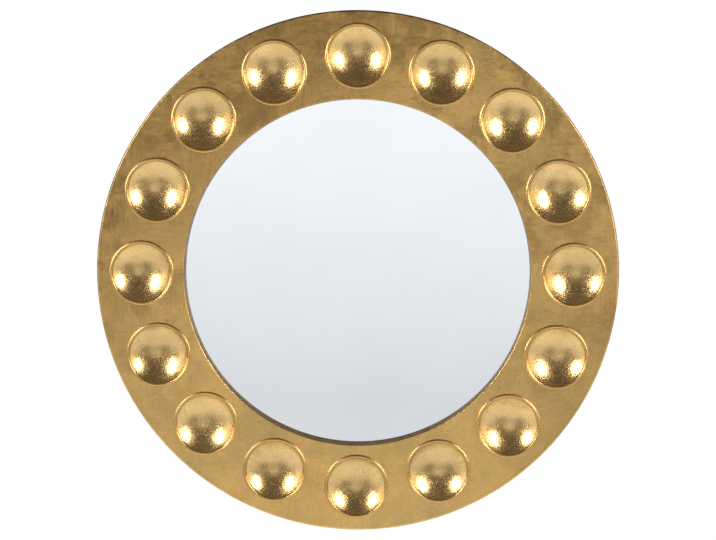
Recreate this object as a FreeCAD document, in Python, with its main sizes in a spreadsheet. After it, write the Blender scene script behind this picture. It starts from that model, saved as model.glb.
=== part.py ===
"""A round wall mirror: a broad gilded ring with sixteen shallow hollow dishes round a flat glass.

Millimetres. The mirror hangs in the XZ plane and faces -Y, with +Z up. The origin is the centre of
the wall face that the rubber bumpers touch, so everything stands in front of it, at negative Y.
"""

import FreeCAD
import Part
import Sketcher

import math
import os

# Driving sizes in millimetres, degrees or counts: name, value, meaning.
SIZES = [
    ("frame_diameter", 800.0, "outside of the ring"),
    ("outer_margin", 18.8, "width of the front face outside the dishes"),
    ("inner_margin", 14.8, "width of the front face inside the dishes"),
    ("frame_depth", 25.0, "thickness of the ring, front face to back face"),
    ("outer_round", 3.0, "radius of the outer front edge"),
    ("inner_round", 1.5, "radius of the opening's front edge"),
    ("back_chamfer", 1.0, "chamfer of the outer back edge"),
    ("wall_gap", 7.0, "height of the bumpers, back face to wall"),
    ("dish_count", 16, "dishes round the ring"),
    ("dish_diameter", 89.4, "hollow of a dish, where it meets its bead"),
    ("dish_depth", 16.9, "hollow of a dish, below the ring's front face"),
    ("dish_sheet", 1.2, "metal that a dish is spun from"),
    ("bead_width", 5.5, "rounded bead round a dish"),
    ("bead_height", 2.0, "rise of the bead above the ring's front face"),
    ("bore_clearance", 0.5, "room round and behind a dish in its bore"),
    ("glass_recess", 16.0, "ring's front face to the glass"),
    ("glass_ledge", 11.0, "width of the ledge that the glass rests on"),
    ("glass_clearance", 1.0, "radial room round the glass"),
    ("glass_thickness", 4.0, "mirror glass"),
    ("glass_edge", 0.5, "ground edge of the glass"),
    ("gasket_width", 12.0, "foam ring between the glass and the board"),
    ("board_overlap", 22.0, "board's edge beyond the glass rebate"),
    ("board_thickness", 3.0, "backing board"),
    ("board_chamfer", 0.8, "edge of the board towards the wall"),
    ("board_screw_bite", 12.0, "depth of the board's screws in the ring"),
    ("board_screw_shank", 3.0, "shank diameter of the board's screws"),
    ("board_screw_head", 6.4, "head diameter of the board's screws"),
    ("screw_fit", 0.05, "radial clearance of a screw in its hole"),
    ("screw_point", 3.0, "length of a screw's pointed end"),
    ("hole_relief", 1.0, "empty end of a blind screw hole"),
    ("recess_depth", 1.4, "cross recess in a screw's head"),
    ("recess_slot", 0.9, "width of one slot of the cross recess"),
    ("recess_share", 0.62, "span of the cross recess as a share of the head"),
    ("hanger_rise", 20.0, "hinge line of a hanger above the middle of its gap"),
    ("strap_width", 14.0, "folded strap"),
    ("strap_length", 38.0, "hinge line to the strap's free end"),
    ("strap_thickness", 1.2, "sheet of the strap"),
    ("strap_end_radius", 5.0, "rounded corners of the strap's free end"),
    ("fold_angle", 35.0, "how far the fold wraps past square, degrees"),
    ("wire_diameter", 3.5, "wire of the D-ring"),
    ("bar_fit", 0.08, "radial clearance of the wire in the fold"),
    ("ring_width", 28.0, "D-ring, centre to centre of its sides"),
    ("ring_height", 20.0, "D-ring, centre of the bar to centre of the bow"),
    ("ring_corner", 3.5, "bend between the bar and the sides"),
    ("ring_rest_gap", 0.3, "between the D-ring and the ring's back at rest"),
    ("strap_screw_first", 11.0, "hinge line to the upper screw"),
    ("strap_screw_second", 29.0, "hinge line to the lower screw"),
    ("strap_screw_shank", 3.5, "shank diameter of the strap's screws"),
    ("strap_screw_head", 7.0, "head diameter of the strap's screws"),
    ("strap_screw_rise", 2.2, "height of the pan head"),
    ("strap_screw_bite", 14.0, "depth of the strap's screws in the ring"),
    ("bumper_diameter", 20.0, "foot of a rubber bumper"),
    ("bumper_top_diameter", 16.0, "wall face of a rubber bumper"),
    ("bumper_foot_height", 1.5, "upright edge of a rubber bumper"),
    ("bumper_inset", 26.0, "outside of the ring to the middle of a bumper"),
]

# Places along Y, all worked out from the wall forwards.
BACK_FACE = "(0 - sizes.wall_gap)"
FRONT_FACE = f"({BACK_FACE} - sizes.frame_depth)"
GLASS_FRONT = f"({FRONT_FACE} + sizes.glass_recess)"
GLASS_BACK = f"({GLASS_FRONT} + sizes.glass_thickness)"
BOARD_BACK = f"({BACK_FACE} + sizes.board_thickness)"

# A dish: the ball that its hollow is part of, and the bore that it stands in.
DISH_RADIUS = "(sizes.dish_diameter / 2)"
BALL_RADIUS = f"(({DISH_RADIUS} ^ 2 + sizes.dish_depth ^ 2) / (2 * sizes.dish_depth))"
BALL_CENTRE = f"(sizes.dish_depth - {BALL_RADIUS})"
SHELL_RADIUS = f"sqrt(({BALL_RADIUS} + sizes.dish_sheet) ^ 2 - {BALL_CENTRE} ^ 2)"
BEAD_RADIUS = f"({DISH_RADIUS} + sizes.bead_width)"
BORE_RADIUS = f"({SHELL_RADIUS} + sizes.bore_clearance)"
BORE_DEPTH = "(sizes.dish_depth + sizes.dish_sheet + sizes.bore_clearance)"

# Radii and directions from the mirror's centre. A gap is the middle between two dishes.
FRAME_RADIUS = "(sizes.frame_diameter / 2)"
DISH_PITCH_RADIUS = f"({FRAME_RADIUS} - sizes.outer_margin - {BEAD_RADIUS})"
OPENING_RADIUS = f"({DISH_PITCH_RADIUS} - {BEAD_RADIUS} - sizes.inner_margin)"
GLASS_REBATE = f"({OPENING_RADIUS} + sizes.glass_ledge)"
GLASS_RADIUS = f"({GLASS_REBATE} - sizes.glass_clearance)"
BOARD_RADIUS = f"({GLASS_REBATE} + sizes.board_overlap)"
BOARD_SCREW_RADIUS = f"({GLASS_REBATE} + sizes.board_overlap / 2)"
BUMPER_PITCH_RADIUS = f"({FRAME_RADIUS} - sizes.bumper_inset)"
DISH_STEP = "(360 / sizes.dish_count)"
HANGER_GAP = f"(90 - 1.5 * {DISH_STEP})"
BUMPER_GAP = f"(90 - 2.5 * {DISH_STEP})"

# Places of the hangers' hinge lines, across and up from the mirror's centre.
HANGER_ACROSS = f"({DISH_PITCH_RADIUS} * cos({HANGER_GAP}))"
HANGER_UP = f"({DISH_PITCH_RADIUS} * sin({HANGER_GAP}) + sizes.hanger_rise)"

BOARD_SCREW_TIP = f"({BACK_FACE} - sizes.board_screw_bite)"

# The strap's fold, round the D-ring's bar.
FOLD_INSIDE = "(sizes.wire_diameter / 2 + sizes.bar_fit)"
FOLD_OUTSIDE = f"({FOLD_INSIDE} + sizes.strap_thickness)"
HINGE_PLACE = f"({BACK_FACE} + {FOLD_OUTSIDE})"
STRAP_FACE = f"({BACK_FACE} + 2 * sizes.strap_thickness)"

TOLERANCE = 1e-6

document = FreeCAD.newDocument("wall_mirror")
sheet = document.addObject("Spreadsheet::Sheet", "sizes")


def fill_sheet():
    """Writes each driving size into the sheet under its own name."""
    for row, (name, number, meaning) in enumerate(SIZES, start=1):
        sheet.set(f"A{row}", meaning)
        sheet.set(f"B{row}", str(number))
        sheet.setAlias(f"B{row}", name)
    document.recompute()


def value(text):
    """The number that an expression on the sheet gives now."""
    return float(sheet.evalExpression(text))


def new_body(name):
    """An empty body, whose label is the name of the piece."""
    body = document.addObject("PartDesign::Body", name)
    body.Label = name
    return body


def origin_feature(body, role):
    """One of the body's own origin planes or axes."""
    return next(feature for feature in body.Origin.OriginFeatures if feature.Role == role)


def new_sketch(body, name, plane, offset="0"):
    """A sketch on one of the body's origin planes, moved along the plane's normal."""
    sketch = body.newObject("Sketcher::SketchObject", f"{body.Name}_{name}")
    sketch.AttachmentSupport = [(origin_feature(body, plane), "")]
    sketch.MapMode = "FlatFace"
    sketch.setExpression("AttachmentOffset.Base.z", offset)
    return sketch


def new_gap_sketch(body, name):
    """A sketch on the half plane from the mirror's axis through the first gap between two dishes."""
    sketch = new_sketch(body, name, "XY_Plane")
    about_axis = FreeCAD.Rotation(FreeCAD.Vector(0, -1, 0), 1)
    sketch.AttachmentOffset = FreeCAD.Placement(FreeCAD.Vector(), about_axis)
    sketch.setExpression("AttachmentOffset.Rotation.Angle", f"{DISH_STEP} / 2")
    return sketch


def constrain(sketch, kind, *where, text):
    """Adds one dimension to a sketch and ties it to the sheet."""
    index = sketch.addConstraint(Sketcher.Constraint(kind, *where, value(text)))
    sketch.setExpression(f"Constraints[{index}]", text)


def arc_between(start, end, centre):
    """The counter-clockwise arc from start to end about centre."""
    radius = (start - centre).Length
    first = math.atan2(start.y - centre.y, start.x - centre.x)
    last = math.atan2(end.y - centre.y, end.x - centre.x)
    if last <= first:
        last += 2 * math.pi
    circle = Part.Circle(centre, FreeCAD.Vector(0, 0, 1), radius)
    return Part.ArcOfCircle(circle, first, last)


def draw_outline(sketch, corners, arcs=None):
    """Draws one closed outline and fixes each of its corners by expressions.

    An edge listed in arcs, by the number of the corner that it starts from, runs about the centre
    given there: counter-clockwise, or clockwise where the entry says so.
    """
    arcs = arcs or {}
    points = [FreeCAD.Vector(value(across), value(up), 0) for across, up in corners]
    first_end = []
    last_end = []
    for number, point in enumerate(points):
        following = points[(number + 1) % len(points)]
        if number in arcs:
            across, up, clockwise = arcs[number]
            centre = FreeCAD.Vector(value(across), value(up), 0)
            ends = (following, point) if clockwise else (point, following)
            edge = sketch.addGeometry(arc_between(*ends, centre), False)
            constrain(sketch, "DistanceY", edge, 3, text=up)
        else:
            clockwise = False
            edge = sketch.addGeometry(Part.LineSegment(point, following), False)
        first_end.append((edge, 2 if clockwise else 1))
        last_end.append((edge, 1 if clockwise else 2))
    for number, (across, up) in enumerate(corners):
        join = (*last_end[number - 1], *first_end[number])
        sketch.addConstraint(Sketcher.Constraint("Coincident", *join))
        constrain(sketch, "DistanceX", *first_end[number], text=across)
        constrain(sketch, "DistanceY", *first_end[number], text=up)


def draw_circle(sketch, across, up, radius):
    """Draws one circle whose place and radius are expressions."""
    centre = FreeCAD.Vector(value(across), value(up), 0)
    circle = Part.Circle(centre, FreeCAD.Vector(0, 0, 1), value(radius))
    edge = sketch.addGeometry(circle, False)
    constrain(sketch, "DistanceX", edge, 3, text=across)
    constrain(sketch, "DistanceY", edge, 3, text=up)
    constrain(sketch, "Radius", edge, text=radius)


def draw_turning_axis(sketch, across):
    """Draws the line that an outline off the centre is turned about."""
    foot = FreeCAD.Vector(value(across), 0, 0)
    top = FreeCAD.Vector(value(across), 1, 0)
    line = sketch.addGeometry(Part.LineSegment(foot, top), True)
    constrain(sketch, "DistanceX", line, 1, text=across)
    constrain(sketch, "DistanceX", line, 2, text=across)
    constrain(sketch, "DistanceY", line, 1, text="0")
    constrain(sketch, "DistanceY", line, 2, text="1")


def finish_feature(body, feature, removes):
    """Builds a feature and makes sure that it adds or removes what it should."""
    before = body.Shape.Volume if body.Shape.Solids else 0.0
    body.Tip = feature
    document.recompute()
    change = body.Shape.Volume - before
    if (removes and change > -TOLERANCE) or (not removes and change < TOLERANCE):
        raise ValueError(f"{feature.Name} changes the volume of {body.Label} by {change}")
    return feature


def turn(body, sketch, axis="V_Axis", removes=False):
    """Turns an outline a full circle, as new material or as a cut."""
    kind = "PartDesign::Groove" if removes else "PartDesign::Revolution"
    feature = body.newObject(kind, f"{sketch.Name}_turned")
    feature.Profile = sketch
    feature.ReferenceAxis = (sketch, [axis])
    feature.Angle = 360
    return finish_feature(body, feature, removes)


def pad(body, sketch, length, reverse=False):
    """Thickens an outline along the sketch's normal, or against it."""
    feature = body.newObject("PartDesign::Pad", f"{sketch.Name}_pad")
    feature.Profile = sketch
    feature.setExpression("Length", length)
    feature.Reversed = reverse
    return finish_feature(body, feature, removes=False)


def pocket(body, sketch, depth, reverse=False):
    """Cuts an outline into the body against the sketch's normal, or along it."""
    feature = body.newObject("PartDesign::Pocket", f"{sketch.Name}_pocket")
    feature.Profile = sketch
    feature.setExpression("Length", depth)
    feature.Reversed = reverse
    return finish_feature(body, feature, removes=True)


def repeat_round(body, features, count, removes):
    """Repeats features in equal steps round the Y axis."""
    pattern = body.newObject("PartDesign::PolarPattern", f"{features[0].Name}_round")
    pattern.Originals = features
    pattern.Axis = (origin_feature(body, "Y_Axis"), [""])
    pattern.Angle = 360
    pattern.setExpression("Occurrences", count)
    return finish_feature(body, pattern, removes)


def place(body, across, depth, up):
    """Ties a body's place to the sheet."""
    body.setExpression("Placement.Base.x", across)
    body.setExpression("Placement.Base.y", depth)
    body.setExpression("Placement.Base.z", up)


def round_edges(body, test, radius):
    """Rounds the edges of a body that pass a test."""
    solid = body.Tip
    edges = solid.Shape.Edges
    chosen = [f"Edge{number}" for number, edge in enumerate(edges, start=1) if test(edge)]
    feature = body.newObject("PartDesign::Fillet", f"{body.Name}_round")
    feature.Base = (solid, chosen)
    feature.setExpression("Radius", radius)
    return finish_feature(body, feature, removes=True)


def countersunk_outline(fit):
    """Half the section of a board screw, or of its hole where fit gives room, flush with the board."""
    axis = BOARD_SCREW_RADIUS
    head = f"(sizes.board_screw_head / 2 + {fit})"
    shank = f"(sizes.board_screw_shank / 2 + {fit})"
    return [
        (axis, BOARD_BACK),
        (f"{axis} + {head}", BOARD_BACK),
        (f"{axis} + {shank}", f"{BOARD_BACK} - {head} + {shank}"),
        (f"{axis} + {shank}", f"{BOARD_SCREW_TIP} + sizes.screw_point"),
        (axis, BOARD_SCREW_TIP if fit == "0" else f"{BOARD_SCREW_TIP} - sizes.hole_relief"),
    ]


def draw_cross(sketch, across, up, head):
    """Draws the plus-shaped recess of a screw's head."""
    reach = f"({head} / 2 * sizes.recess_share)"
    half = "(sizes.recess_slot / 2)"
    corner_steps = [
        (half, reach), (half, half), (reach, half),
        (reach, f"-{half}"), (half, f"-{half}"), (half, f"-{reach}"),
        (f"-{half}", f"-{reach}"), (f"-{half}", f"-{half}"), (f"-{reach}", f"-{half}"),
        (f"-{reach}", half), (f"-{half}", half), (f"-{half}", reach),
    ]
    corners = [(f"{across} + {step_x}", f"{up} + {step_z}") for step_x, step_z in corner_steps]
    draw_outline(sketch, corners)


def cut_board_screw_holes(body):
    """Cuts a board screw's hole in each gap between two dishes."""
    sketch = new_gap_sketch(body, "screw_hole")
    draw_outline(sketch, countersunk_outline("sizes.screw_fit"))
    draw_turning_axis(sketch, BOARD_SCREW_RADIUS)
    hole = turn(body, sketch, axis="Axis0", removes=True)
    repeat_round(body, [hole], "sizes.dish_count", removes=True)


def make_front_ring():
    """The gilded ring: a rebate behind for the glass, sixteen bores in front, and the screws' holes."""
    body = new_body("front_ring")
    section = new_sketch(body, "section", "XY_Plane")
    draw_outline(
        section,
        [
            (f"{OPENING_RADIUS} + sizes.inner_round", FRONT_FACE),
            (f"{FRAME_RADIUS} - sizes.outer_round", FRONT_FACE),
            (FRAME_RADIUS, f"{FRONT_FACE} + sizes.outer_round"),
            (FRAME_RADIUS, f"{BACK_FACE} - sizes.back_chamfer"),
            (f"{FRAME_RADIUS} - sizes.back_chamfer", BACK_FACE),
            (GLASS_REBATE, BACK_FACE),
            (GLASS_REBATE, GLASS_FRONT),
            (OPENING_RADIUS, GLASS_FRONT),
            (OPENING_RADIUS, f"{FRONT_FACE} + sizes.inner_round"),
        ],
        arcs={
            1: (f"{FRAME_RADIUS} - sizes.outer_round", f"{FRONT_FACE} + sizes.outer_round", False),
            8: (f"{OPENING_RADIUS} + sizes.inner_round", f"{FRONT_FACE} + sizes.inner_round", False),
        },
    )
    turn(body, section)

    bore = new_sketch(body, "bore", "XZ_Plane", f"0 - {FRONT_FACE}")
    draw_circle(bore, DISH_PITCH_RADIUS, "0", BORE_RADIUS)
    repeat_round(body, [pocket(body, bore, BORE_DEPTH)], "sizes.dish_count", removes=True)
    cut_board_screw_holes(body)

    strap_holes = new_sketch(body, "strap_holes", "XZ_Plane", f"0 - {BACK_FACE}")
    for side in ("-", ""):
        for drop in ("sizes.strap_screw_first", "sizes.strap_screw_second"):
            draw_circle(
                strap_holes, f"{side}{HANGER_ACROSS}", f"{HANGER_UP} - {drop}",
                "sizes.strap_screw_shank / 2 + sizes.screw_fit",
            )
    pocket(body, strap_holes, "sizes.strap_screw_bite + sizes.hole_relief", reverse=True)


def make_dish(number):
    """One dish: a spun shell with a round hollow, hanging in its bore by the bead round its edge."""
    body = new_body(f"dish_{number + 1:02d}")
    bead_middle = f"({DISH_RADIUS} + sizes.bead_width / 2)"
    bead_ball = "(((sizes.bead_width / 2) ^ 2 + sizes.bead_height ^ 2) / (2 * sizes.bead_height))"
    section = new_sketch(body, "section", "XY_Plane")
    draw_outline(
        section,
        [
            ("0", "sizes.dish_depth"),
            (DISH_RADIUS, "0"),
            (BEAD_RADIUS, "0"),
            (SHELL_RADIUS, "0"),
            ("0", "sizes.dish_depth + sizes.dish_sheet"),
        ],
        arcs={
            0: ("0", BALL_CENTRE, True),
            1: (bead_middle, f"{bead_ball} - sizes.bead_height", False),
            3: ("0", BALL_CENTRE, False),
        },
    )
    turn(body, section)
    direction = f"(90 - {number} * {DISH_STEP})"
    place(
        body, f"{DISH_PITCH_RADIUS} * cos({direction})", FRONT_FACE,
        f"{DISH_PITCH_RADIUS} * sin({direction})",
    )


def make_mirror_glass():
    """The round glass with its ground edges, resting on the ring's inner ledge."""
    body = new_body("mirror_glass")
    section = new_sketch(body, "section", "XY_Plane")
    draw_outline(
        section,
        [
            ("0", GLASS_FRONT),
            (f"{GLASS_RADIUS} - sizes.glass_edge", GLASS_FRONT),
            (GLASS_RADIUS, f"{GLASS_FRONT} + sizes.glass_edge"),
            (GLASS_RADIUS, f"{GLASS_BACK} - sizes.glass_edge"),
            (f"{GLASS_RADIUS} - sizes.glass_edge", GLASS_BACK),
            ("0", GLASS_BACK),
        ],
    )
    turn(body, section)


def make_glass_gasket():
    """The foam ring between the glass and the board."""
    body = new_body("glass_gasket")
    outside = f"({GLASS_RADIUS} - sizes.glass_edge)"
    ring = new_sketch(body, "ring", "XZ_Plane", f"0 - {BACK_FACE}")
    draw_circle(ring, "0", "0", outside)
    draw_circle(ring, "0", "0", f"{outside} - sizes.gasket_width")
    pad(body, ring, f"{BACK_FACE} - {GLASS_BACK}")


def make_backing_board():
    """The board that closes the back, screwed on the ring in each gap between two dishes."""
    body = new_body("backing_board")
    section = new_sketch(body, "section", "XY_Plane")
    draw_outline(
        section,
        [
            ("0", BACK_FACE),
            (BOARD_RADIUS, BACK_FACE),
            (BOARD_RADIUS, f"{BOARD_BACK} - sizes.board_chamfer"),
            (f"{BOARD_RADIUS} - sizes.board_chamfer", BOARD_BACK),
            ("0", BOARD_BACK),
        ],
    )
    turn(body, section)
    cut_board_screw_holes(body)


def make_backing_screws():
    """The board's countersunk screws, each a solid of its own, in one piece group."""
    body = new_body("backing_screws")
    body.AllowCompound = True
    section = new_gap_sketch(body, "section")
    draw_outline(section, countersunk_outline("0"))
    draw_turning_axis(section, BOARD_SCREW_RADIUS)
    screw = turn(body, section, axis="Axis0")
    recess = new_sketch(body, "recess", "XZ_Plane", f"0 - {BOARD_BACK}")
    draw_cross(
        recess, f"{BOARD_SCREW_RADIUS} * cos({DISH_STEP} / 2)",
        f"{BOARD_SCREW_RADIUS} * sin({DISH_STEP} / 2)", "sizes.board_screw_head",
    )
    cross = pocket(body, recess, "sizes.recess_depth", reverse=True)
    pattern = repeat_round(body, [screw, cross], "sizes.dish_count", removes=False)
    pattern.Refine = False


def make_strap(side, sign):
    """One hanger strap: sheet folded round the D-ring's bar, its two layers pressed together."""
    body = new_body(f"hanger_strap_{side}")
    across_fold = "cos(sizes.fold_angle)"
    along_fold = "sin(sizes.fold_angle)"
    slope = f"({across_fold} / {along_fold})"
    low_face = f"(0 - {FOLD_OUTSIDE})"
    inner_face = f"(0 - {FOLD_INSIDE})"
    top_face = f"({inner_face} + sizes.strap_thickness)"
    fold_end = (f"{FOLD_OUTSIDE} * {across_fold}", f"0 - {FOLD_OUTSIDE} * {along_fold}")
    bore_end = (f"{FOLD_INSIDE} * {across_fold}", f"0 - {FOLD_INSIDE} * {along_fold}")
    step_foot = f"{fold_end[1]} - ({fold_end[0]} - {top_face}) * {slope}"
    bore_foot = f"{bore_end[1]} - ({bore_end[0]} - {inner_face}) * {slope}"
    section = new_sketch(body, "section", "YZ_Plane", "0 - sizes.strap_width / 2")
    draw_outline(
        section,
        [
            (low_face, "0 - sizes.strap_length"),
            (low_face, "0"),
            fold_end,
            (top_face, step_foot),
            (top_face, "0 - sizes.strap_length"),
        ],
        arcs={1: ("0", "0", True)},
    )
    draw_outline(
        section,
        [(inner_face, "0"), bore_end, (inner_face, bore_foot)],
        arcs={0: ("0", "0", True)},
    )
    pad(body, section, "sizes.strap_width")
    holes = new_sketch(body, "holes", "XZ_Plane", f"0 - {top_face}")
    for drop in ("sizes.strap_screw_first", "sizes.strap_screw_second"):
        draw_circle(holes, "0", f"0 - {drop}", "sizes.strap_screw_shank / 2 + sizes.screw_fit")
    pocket(body, holes, "2 * sizes.strap_thickness", reverse=True)
    free_end = -value("sizes.strap_length")
    half_width = value("sizes.strap_width / 2")

    def is_end_corner(edge):
        middle = edge.BoundBox.Center
        at_end = abs(middle.z - free_end) < TOLERANCE
        at_side = abs(abs(middle.x) - half_width) < TOLERANCE
        return at_end and at_side and edge.BoundBox.ZLength < TOLERANCE

    round_edges(body, is_end_corner, "sizes.strap_end_radius")
    place(body, f"{sign} * {HANGER_ACROSS}", HINGE_PLACE, HANGER_UP)


def make_hanger_ring(side, sign):
    """One D-ring of round wire, its bow leaning on the ring's back."""
    body = new_body(f"hanger_ring_{side}")
    half = "(sizes.ring_width / 2)"
    corner = "sizes.ring_corner"
    bar_end = f"({half} - {corner})"
    bow_foot = f"(sizes.ring_height - {half})"
    path = new_sketch(body, "path", "XZ_Plane")
    draw_outline(
        path,
        [
            ("0", "0"),
            (bar_end, "0"),
            (half, corner),
            (half, bow_foot),
            (f"-{half}", bow_foot),
            (f"-{half}", corner),
            (f"-{bar_end}", "0"),
        ],
        arcs={
            1: (bar_end, corner, False),
            3: ("0", bow_foot, False),
            5: (f"-{bar_end}", corner, False),
        },
    )
    section = new_sketch(body, "section", "YZ_Plane")
    draw_circle(section, "0", "0", "sizes.wire_diameter / 2")
    wire = body.newObject("PartDesign::AdditivePipe", f"{body.Name}_wire")
    wire.Profile = section
    wire.Spine = path
    finish_feature(body, wire, removes=False)
    lean = f"asin(({FOLD_OUTSIDE} - sizes.ring_rest_gap - sizes.wire_diameter / 2) / sizes.ring_height)"
    body.Placement = FreeCAD.Placement(FreeCAD.Vector(), FreeCAD.Rotation(FreeCAD.Vector(1, 0, 0), 1))
    body.setExpression("Placement.Rotation.Angle", lean)
    place(body, f"{sign} * {HANGER_ACROSS}", HINGE_PLACE, HANGER_UP)


def make_strap_screws(side, sign):
    """The two pan-head screws of one strap, each a solid of its own."""
    body = new_body(f"hanger_screws_{side}")
    body.AllowCompound = True
    head = "(sizes.strap_screw_head / 2)"
    rise = "sizes.strap_screw_rise"
    shank = "(sizes.strap_screw_shank / 2)"
    tip = "(0 - 2 * sizes.strap_thickness - sizes.strap_screw_bite)"
    crown = f"(({head} ^ 2 + {rise} ^ 2) / (2 * {rise}))"
    section = new_sketch(body, "section", "XY_Plane")
    draw_outline(
        section,
        [
            ("0", rise),
            ("0", tip),
            (shank, f"{tip} + sizes.screw_point"),
            (shank, "0"),
            (head, "0"),
        ],
        arcs={4: ("0", f"{rise} - {crown}", False)},
    )
    screw = turn(body, section)
    recess = new_sketch(body, "recess", "XZ_Plane", f"0 - {rise}")
    draw_cross(recess, "0", "0", "sizes.strap_screw_head")
    cross = pocket(body, recess, "sizes.recess_depth", reverse=True)
    pair = body.newObject("PartDesign::LinearPattern", f"{body.Name}_pair")
    pair.Originals = [screw, cross]
    pair.Direction = (origin_feature(body, "Z_Axis"), [""])
    pair.Reversed = True
    pair.setExpression("Length", "sizes.strap_screw_second - sizes.strap_screw_first")
    pair.Occurrences = 2
    finish_feature(body, pair, removes=False)
    place(
        body, f"{sign} * {HANGER_ACROSS}", STRAP_FACE,
        f"{HANGER_UP} - sizes.strap_screw_first",
    )


def make_bumper(name, across_sign, up_sign):
    """One tapered rubber bumper between the ring's back and the wall."""
    body = new_body(name)
    section = new_sketch(body, "section", "XY_Plane")
    draw_outline(
        section,
        [
            ("0", "0"),
            ("sizes.bumper_diameter / 2", "0"),
            ("sizes.bumper_diameter / 2", "sizes.bumper_foot_height"),
            ("sizes.bumper_top_diameter / 2", "sizes.wall_gap"),
            ("0", "sizes.wall_gap"),
        ],
    )
    turn(body, section)
    place(
        body, f"{across_sign} * {BUMPER_PITCH_RADIUS} * cos({BUMPER_GAP})", BACK_FACE,
        f"{up_sign} * {BUMPER_PITCH_RADIUS} * sin({BUMPER_GAP})",
    )


def make_all():
    """Makes every piece of the mirror. Left is the viewer's left, at negative X."""
    make_front_ring()
    for number in range(int(value("sizes.dish_count"))):
        make_dish(number)
    make_mirror_glass()
    make_glass_gasket()
    make_backing_board()
    make_backing_screws()
    for side, sign in (("left", -1), ("right", 1)):
        make_strap(side, sign)
        make_hanger_ring(side, sign)
        make_strap_screws(side, sign)
        make_bumper(f"bumper_upper_{side}", sign, 1)
        make_bumper(f"bumper_lower_{side}", sign, -1)


def check_and_write():
    """Checks every object and writes each piece to its own file."""
    document.recompute()
    for item in document.Objects:
        if "Invalid" in item.State or "Error" in item.State:
            raise ValueError(f"{item.Label} failed: {item.State}")
    bodies = [item for item in document.Objects if item.TypeId == "PartDesign::Body"]
    for body in bodies:
        if body.Shape.isNull() or not body.Shape.isValid() or not body.Shape.Solids:
            raise ValueError(f"{body.Label} has no valid shape")
    os.makedirs("parts", exist_ok=True)
    for body in bodies:
        body.Shape.exportStep(f"parts/{body.Label}.step")
        box = body.Shape.BoundBox
        print(f"{body.Label}: {len(body.Shape.Solids)} solids, {body.Shape.Volume:.0f} mm3, "
              f"Y {box.YMin:.2f} to {box.YMax:.2f}")


fill_sheet()
make_all()
check_and_write()
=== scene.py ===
"""Looks of the round gilded wall mirror: its ring, sixteen hollow dishes, glass, back and stage.

Metres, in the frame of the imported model: the mirror hangs in the XZ plane and faces -Y.
"""

import math

import bmesh
import bpy
from bpy.props import FloatProperty, FloatVectorProperty, IntProperty, PointerProperty
from mathutils import Matrix, Vector


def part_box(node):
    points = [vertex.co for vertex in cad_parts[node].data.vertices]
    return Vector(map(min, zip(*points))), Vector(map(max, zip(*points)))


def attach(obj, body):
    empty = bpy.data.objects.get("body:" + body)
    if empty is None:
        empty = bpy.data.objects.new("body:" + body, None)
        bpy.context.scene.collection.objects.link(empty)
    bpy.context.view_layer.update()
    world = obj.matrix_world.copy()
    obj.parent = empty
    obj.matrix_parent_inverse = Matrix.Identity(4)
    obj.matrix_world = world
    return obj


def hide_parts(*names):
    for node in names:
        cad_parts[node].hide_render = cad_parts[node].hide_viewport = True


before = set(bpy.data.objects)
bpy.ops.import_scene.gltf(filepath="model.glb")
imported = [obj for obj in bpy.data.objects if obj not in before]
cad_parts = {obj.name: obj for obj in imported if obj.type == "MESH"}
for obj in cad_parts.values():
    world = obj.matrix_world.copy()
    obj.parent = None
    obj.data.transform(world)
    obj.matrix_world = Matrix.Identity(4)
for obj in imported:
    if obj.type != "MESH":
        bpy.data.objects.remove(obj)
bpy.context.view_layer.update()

bl_info = {
    "name": "Gilded Wall Mirror",
    "version": (1, 0, 0),
    "blender": (4, 5, 0),
    "location": "3D View > Sidebar > Mirror",
    "description": "Builds the looks of a round gilded wall mirror with hollow dishes",
    "category": "Object",
}

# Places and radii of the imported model.
RING_LOW, RING_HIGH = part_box("front_ring")
DISH_LOW, DISH_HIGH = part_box("dish_01")
GLASS_LOW, GLASS_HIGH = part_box("mirror_glass")
FRONT_FACE = RING_LOW.y
BACK_FACE = RING_HIGH.y
RING_RADIUS = min(RING_HIGH.x, RING_HIGH.z)
GLASS_FACE = GLASS_LOW.y
GLASS_RADIUS = GLASS_HIGH.x
BEAD_RADIUS = (DISH_HIGH.x - DISH_LOW.x) / 2
DISH_NAMES = sorted(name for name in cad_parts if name.startswith("dish_"))
BUMPER_NAMES = sorted(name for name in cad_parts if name.startswith("bumper_"))

# Sizes that no box of the model gives, in metres.
OPENING_RADIUS = 0.266
BACK_ROUND = 0.001
FLAT_HOLD = 0.0004

# The picture and the camera that was fitted to it: pixels, degrees and metres.
PICTURE_WIDTH = 716
SENSOR_WIDTH = 36.0
CAMERA_FOCAL_PIXELS = 1629.0
CAMERA_AZIMUTH = 1.25
CAMERA_ELEVATION = 5.68
CAMERA_DISTANCE = 2.4935
CAMERA_ROLL = 0.21
TARGET_PIXEL_RIGHT = -0.87
TARGET_PIXEL_DOWN = 4.05

# Patterns of the leaf: waves per metre, and where along the ring they are true to size.
RING_PATCHES = 9.0
DISH_PATCHES = 14.0
MOTTLE_TO_PATCHES = 5.5
LEAF_GRAIN = 420.0
PATTERN_RADIUS = 0.331

# The squares that the leaf was laid in, in metres.
LEAF_LENGTH = 0.083
LEAF_WIDTH = 0.079
LEAF_SEAM = 0.0004
SEAM_WANDER = 0.006

# Relief of the leaf in metres, from the slow sway of the ground to the grain; pits go down.
RING_SWAY = 0.0007
RING_DENTS = 0.00022
RING_STROKES = 0.00006
RING_GRAIN = 0.00003
DISH_SWAY = 0.00030
DISH_CRINKLES = 0.00020
DISH_PITS = -0.00010
DISH_CRACKS = -0.00005
BEAD_GRAIN = 0.00004

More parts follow.
